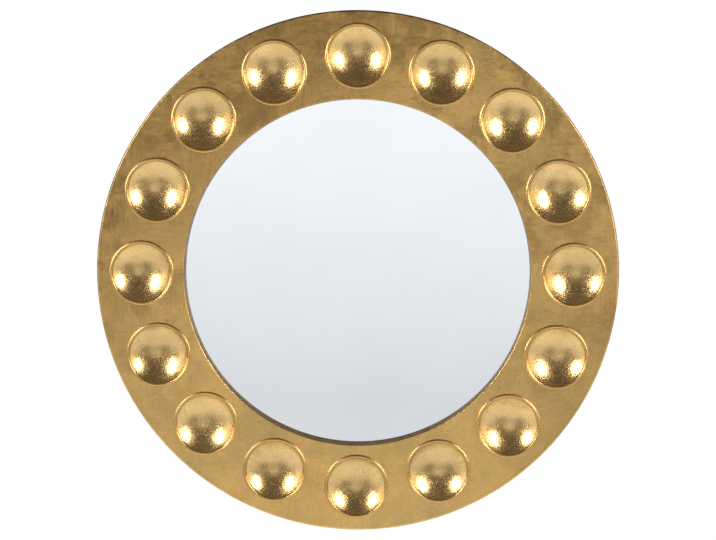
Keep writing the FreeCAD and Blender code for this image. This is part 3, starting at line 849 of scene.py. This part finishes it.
class MIRROR_OT_back(bpy.types.Operator):
    """Dresses the backing board and its screws"""

    bl_idname = "mirror.back"
    bl_label = "Backing board"

    def execute(self, context):
        fittings = context.scene.mirror_fittings
        dress_node("backing_board", hardboard_finish(fittings))
        zinc = plated_finish("zinc", fittings.zinc, (0.46, 0.44, 0.37), 700.0, 0.28, 0.42)
        dress_node("backing_screws", zinc)
        for side in ("left", "right"):
            dress_node(f"hanger_screws_{side}", zinc)
        return {"FINISHED"}


class MIRROR_OT_hangers(bpy.types.Operator):
    """Dresses the straps and the D-rings"""

    bl_idname = "mirror.hangers"
    bl_label = "Hangers"

    def execute(self, context):
        bright = context.scene.mirror_fittings.nickel
        nickel = plated_finish("nickel", bright, (0.50, 0.49, 0.46), 900.0, 0.20, 0.34)
        for side in ("left", "right"):
            dress_node(f"hanger_strap_{side}", nickel)
            dress_node(f"hanger_ring_{side}", nickel)
        return {"FINISHED"}


def bumper_profile(low, high):
    """Section of a bumper: a low foot, a tapered side and a dimple in the face on the wall."""
    foot = (high.x - low.x) / 2
    face = foot * 0.8
    foot_height = 0.0015
    edge = 0.0012
    dimple = 0.0008
    points = [(0.0, low.y), (foot, low.y), (foot, low.y + foot_height)]
    points += arc_points((face - edge, high.y - edge), edge, 15, 90, 5)
    points += [(face * 0.45, high.y), (face * 0.38, high.y - dimple), (0.0, high.y - dimple)]
    return points


class MIRROR_OT_bumpers(bpy.types.Operator):
    """Makes the four moulded rubber bumpers"""

    bl_idname = "mirror.bumpers"
    bl_label = "Bumpers"

    def execute(self, context):
        dark = context.scene.mirror_fittings.rubber
        rubber = soft_black_finish(
            "bumper_rubber", dark, (0.045, 0.043, 0.040), 2600.0, 0.00003, 0.55, 0.75
        )
        for name in BUMPER_NAMES:
            mesh = turn_profile(bumper_profile(*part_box(name)), 48, False)
            move_to(mesh, name)
            piece = object_from(mesh, f"moulded_{name}")
            shade(piece, 35)
            finish_piece(piece, "bumper_rubber", name, rubber)
        return {"FINISHED"}


# -------------------------------------------------------------------- stage


def from_mirror(azimuth, elevation, distance):
    """A place in front of the mirror, azimuth to the right and elevation up, in radians."""
    level = math.cos(elevation) * distance
    return Vector(
        (math.sin(azimuth) * level, -math.cos(azimuth) * level, math.sin(elevation) * distance)
    )


def make_camera():
    """Stands the camera where the picture was taken from."""
    camera_data = bpy.data.cameras.new("picture_camera")
    camera_data.sensor_width = SENSOR_WIDTH
    camera_data.lens = CAMERA_FOCAL_PIXELS * SENSOR_WIDTH / PICTURE_WIDTH
    camera_data.shift_x = -TARGET_PIXEL_RIGHT / PICTURE_WIDTH
    camera_data.shift_y = TARGET_PIXEL_DOWN / PICTURE_WIDTH
    camera = bpy.data.objects.new("picture_camera", camera_data)
    bpy.context.scene.collection.objects.link(camera)
    target = Vector((0.0, FRONT_FACE, 0.0))
    back = from_mirror(math.radians(CAMERA_AZIMUTH), math.radians(CAMERA_ELEVATION), 1.0)
    aim = (-back).to_track_quat("-Z", "Y").to_matrix().to_4x4()
    roll = Matrix.Rotation(math.radians(CAMERA_ROLL), 4, "Z")
    camera.matrix_world = Matrix.Translation(target + back * CAMERA_DISTANCE) @ aim @ roll
    bpy.context.scene.camera = camera


def make_soft_box(name, side, stage):
    """One tall soft box, facing the mirror."""
    lamp = bpy.data.lights.new(name, "AREA")
    lamp.shape = "ELLIPSE"
    lamp.size = stage.box_width
    lamp.size_y = stage.box_height
    lamp.energy = stage.box_power
    holder = bpy.data.objects.new(name, lamp)
    bpy.context.scene.collection.objects.link(holder)
    place = from_mirror(side * stage.box_azimuth, stage.box_elevation, stage.box_distance)
    holder.location = place
    holder.rotation_euler = (-place).to_track_quat("-Z", "Y").to_euler()
    holder.visible_camera = False


def light_as_seen(tree, lit, colour):
    """Ends a stage material: lit as given, but of a settled colour in reflections."""
    glow = add_node(tree, "ShaderNodeEmission", {"Color": colour, "Strength": 1.0})
    seen = add_node(tree, "ShaderNodeLightPath").outputs["Is Glossy Ray"]
    mixed = add_node(tree, "ShaderNodeMixShader", {0: seen, 1: lit, 2: glow.outputs[0]})
    add_node(tree, "ShaderNodeOutputMaterial", {"Surface": mixed.outputs[0]})


def panel_corners(first, last):
    """The four corners of an upright or a level panel, from two opposite ones."""
    if first[2] == last[2]:
        second, fourth = (last[0], first[1], first[2]), (first[0], last[1], first[2])
    else:
        second, fourth = (last[0], last[1], first[2]), (first[0], first[1], last[2])
    return first, second, last, fourth


def make_panel(name, first, last, level):
    """A studio panel that only reflections see."""
    mesh = bmesh.new()
    mesh.faces.new([mesh.verts.new(corner) for corner in panel_corners(first, last)])
    panel = object_from(mesh, name)
    material, tree, place = new_finish(name)
    colour = [level * part for part in PANEL_TINT]
    folds = spread(tree, noise(tree, place, 1.2), 0.3, 0.7)
    tone = stain(tree, folds, opaque(colour), [part * 1.4 for part in colour])
    cloth = add_node(tree, "ShaderNodeBsdfPrincipled", {"Base Color": tone, "Roughness": 0.9})
    light_as_seen(tree, cloth.outputs[0], tone)
    panel.data.materials.append(material)
    panel.visible_camera = False
    panel.visible_diffuse = False
    panel.visible_shadow = False


def shadow_patch(tree, place, middle, half_size, depth):
    """A factor that dips softly, by so much, over an oval patch of the floor."""
    away = reckon_places(tree, "SUBTRACT", place, (*middle, 0.0))
    scaled = reckon_places(tree, "MULTIPLY", away, (1 / half_size[0], 1 / half_size[1], 0.0))
    return spread(tree, reach_of(tree, scaled), 0.35, 1.25, 1.0 - depth, 1.0)


def beside_the_paper(tree, place):
    """A factor that dips on both sides of the long strip of paper in front of the mirror."""
    at = parts_of(tree, place)
    ahead = reckon(tree, "MAXIMUM", times(tree, at["Y"], -1.0), 0.1)
    aside = reckon(tree, "DIVIDE", reckon(tree, "ABSOLUTE", at["X"], 0.0), ahead)
    sector = times(tree, spread(tree, aside, 0.18, 0.32), spread(tree, aside, 0.62, 0.95, 1.0, 0.0))
    beyond = times(tree, sector, spread(tree, ahead, 1.7, 2.9))
    return spread(tree, beyond, 0.0, 1.0, 1.0, 0.42)


def make_floor(height):
    """A wide pale floor; reflections see its paper, the darker room floor and the far haze."""
    mesh = bmesh.new()
    bmesh.ops.create_circle(
        mesh, cap_ends=True, segments=96, radius=FLOOR_RADIUS,
        matrix=Matrix.Translation((0, 0, height)),
    )
    floor = object_from(mesh, "floor")
    material, tree, place = new_finish("pale_floor")
    steepness = reckon(tree, "DIVIDE", -height, reach_of(tree, place))
    ramp = add_node(tree, "ShaderNodeValToRGB", {"Fac": steepness})
    while len(ramp.color_ramp.elements) < len(FLOOR_STOPS):
        ramp.color_ramp.elements.new(0.5)
    for element, (position, level) in zip(ramp.color_ramp.elements, FLOOR_STOPS):
        element.position = position
        element.color = opaque([level * part for part in FLOOR_TINT])
    tone = dim(tree, ramp.outputs["Color"], beside_the_paper(tree, place))
    tone = dim(tree, tone, shadow_patch(tree, place, (0.0, -4.0), (1.2, 1.8), 0.25))
    seen = add_node(tree, "ShaderNodeLightPath").outputs["Is Camera Ray"]
    paper = add_node(
        tree, "ShaderNodeBsdfPrincipled",
        {"Base Color": (0.85, 0.85, 0.85, 1), "Roughness": 0.9, "Emission Color": (1, 1, 1, 1),
         "Emission Strength": times(tree, seen, 0.35)},
    )
    light_as_seen(tree, paper.outputs[0], tone)
    floor.data.materials.append(material)


def make_world():
    """White all round for the camera and for reflections, softer for the light it sheds."""
    world = bpy.data.worlds.new("studio")
    bpy.context.scene.world = world
    world.use_nodes = True
    tree = world.node_tree
    tree.nodes.clear()
    path = add_node(tree, "ShaderNodeLightPath")
    shown = reckon(tree, "MAXIMUM", path.outputs["Is Camera Ray"], path.outputs["Is Glossy Ray"])
    shown = reckon(tree, "MAXIMUM", shown, path.outputs["Is Transmission Ray"])
    level = spread(tree, shown, 0.0, 1.0, 0.75, 1.0)
    light = add_node(tree, "ShaderNodeBackground", {"Color": (1, 1, 1, 1), "Strength": level})
    add_node(tree, "ShaderNodeOutputWorld", {"Surface": light.outputs[0]})


class MIRROR_OT_stage(bpy.types.Operator):
    """Makes the floor, the lights and the camera"""

    bl_idname = "mirror.stage"
    bl_label = "Stage"

    def execute(self, context):
        stage = context.scene.mirror_stage
        make_camera()
        make_world()
        make_floor(stage.floor_height)
        make_soft_box("soft_box_right", 1, stage)
        make_soft_box("soft_box_left", -1, stage)
        for name, first, last, level in STUDIO_PANELS:
            make_panel(name, first, last, level)
        context.scene.view_settings.view_transform = "Standard"
        return {"FINISHED"}


OPERATORS = (
    MIRROR_OT_stage, MIRROR_OT_gilded_ring, MIRROR_OT_dishes, MIRROR_OT_glass, MIRROR_OT_back,
    MIRROR_OT_hangers, MIRROR_OT_bumpers,
)


class MIRROR_PT_panel(bpy.types.Panel):
    """Lists the mirror's pieces and its stage"""

    bl_idname = "MIRROR_PT_panel"
    bl_label = "Gilded Wall Mirror"
    bl_space_type = "VIEW_3D"
    bl_region_type = "UI"
    bl_category = "Mirror"

    def draw(self, context):
        for operator in OPERATORS:
            self.layout.operator(operator.bl_idname, text=operator.bl_label)


SETTINGS = {
    "mirror_ring": RingSizes, "mirror_dish": DishSizes, "mirror_gilding": Gilding,
    "mirror_fittings": Fittings, "mirror_stage": StageSettings,
}


def register():
    """Registers the settings, the operators and the panel."""
    for name, group in SETTINGS.items():
        bpy.utils.register_class(group)
        setattr(bpy.types.Scene, name, PointerProperty(type=group))
    for operator in OPERATORS:
        bpy.utils.register_class(operator)
    bpy.utils.register_class(MIRROR_PT_panel)


def unregister():
    """Takes the panel, the operators and the settings away again."""
    bpy.utils.unregister_class(MIRROR_PT_panel)
    for operator in reversed(OPERATORS):
        bpy.utils.unregister_class(operator)
    for name, group in SETTINGS.items():
        delattr(bpy.types.Scene, name)
        bpy.utils.unregister_class(group)


def main():
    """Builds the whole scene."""
    register()
    bpy.ops.mirror.stage()
    bpy.ops.mirror.gilded_ring()
    bpy.ops.mirror.dishes()
    bpy.ops.mirror.glass()
    bpy.ops.mirror.back()
    bpy.ops.mirror.hangers()
    bpy.ops.mirror.bumpers()


if __name__ == "__main__":
    main()
